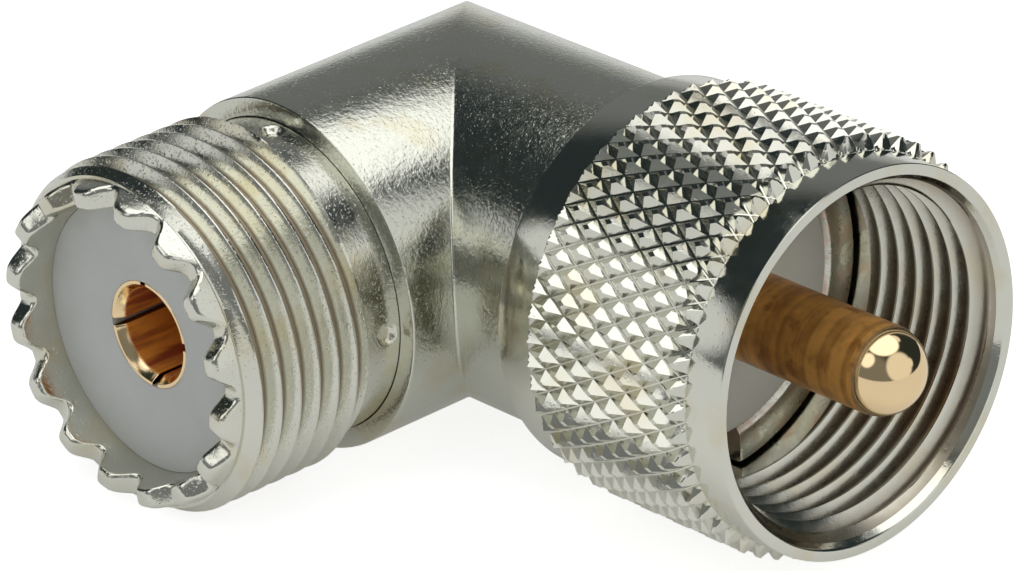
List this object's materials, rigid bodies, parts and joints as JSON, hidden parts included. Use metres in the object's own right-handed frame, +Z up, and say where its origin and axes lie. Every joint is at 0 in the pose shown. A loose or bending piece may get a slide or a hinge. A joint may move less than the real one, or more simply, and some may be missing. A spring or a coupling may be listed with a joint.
{
  "type": "right-angle coaxial adapter",
  "caption": "Right-angle coaxial adapter with a threaded jack on one arm and a pin plug with a knurled coupling nut on the other.",
  "frame": {"origin": "on the table, under the middle of the adapter as it lies at rest", "axes": "-Y out of the jack, +X along the plug, which rises by 5.3 degrees because the nut is thicker than the elbow, +Z up"},
  "size_m": [0.0356, 0.0298, 0.0193],
  "materials": {
    "nickel": "bright nickel plate",
    "satin_nickel": "satin nickel plate with a fine grain",
    "gold": "gold plate, polished",
    "dielectric": "grey, faintly turned"
  },
  "bodies": {
    "housing": {"elbow_body": "satin_nickel", "jack_shell": "nickel", "jack_insulator": "dielectric", "jack_contact": "gold", "plug_shell": "nickel", "plug_insulator": "dielectric", "plug_pin": "gold"},
    "nut": {"coupling_nut": "nickel", "retaining_ring": "nickel"}
  },
  "joints": [
    {"name": "nut_spin", "type": "hinge", "parent": "housing", "child": "nut", "pos_m": [-0.00974, 0.00558, 0.00805], "axis": [0.9958, 0, 0.0918], "continuous": true}
  ]
}
